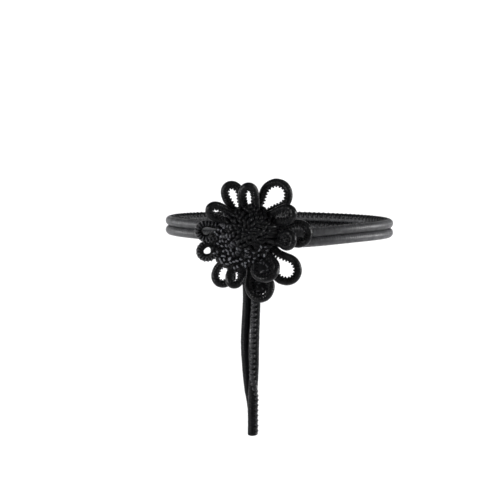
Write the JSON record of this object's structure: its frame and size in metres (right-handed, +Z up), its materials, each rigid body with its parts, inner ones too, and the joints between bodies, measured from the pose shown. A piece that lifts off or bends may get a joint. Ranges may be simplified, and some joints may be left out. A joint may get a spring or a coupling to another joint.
{
  "type": "rope belt",
  "caption": "Rope belt of round laced leather cord, doubled round the waist, with a knotted flower of looped cord off centre at the front and hanging tails.",
  "frame": {"origin": "middle of the waist that the belt goes round, at the height of its sides", "axes": "+Z up, +X to the right as seen from the front, -Y towards the front, where the flower knot is"},
  "size_m": [0.24, 0.2224, 0.2653],
  "materials": {
    "cord_leather": "satin black leather strip laced shut round a soft filling",
    "loop_leather": "satin black leather cord with its laced seam turned inwards",
    "knot_leather": "satin black leather, tightly knotted"
  },
  "bodies": {
    "root": {"waist_strand_upper": "cord_leather", "waist_strand_lower": "cord_leather", "tail_left": "cord_leather", "tail_right": "cord_leather", "knot_centre": "knot_leather", "petal_back_1": "loop_leather", "petal_back_2": "loop_leather", "petal_back_3": "loop_leather", "petal_back_4": "loop_leather", "petal_back_5": "loop_leather", "petal_back_6": "loop_leather", "petal_back_7": "loop_leather", "petal_front_1": "loop_leather", "petal_front_2": "loop_leather", "petal_front_3": "loop_leather", "petal_front_4": "loop_leather", "petal_front_5": "loop_leather", "petal_front_6": "loop_leather", "petal_front_7": "loop_leather"}
  },
  "joints": []
}
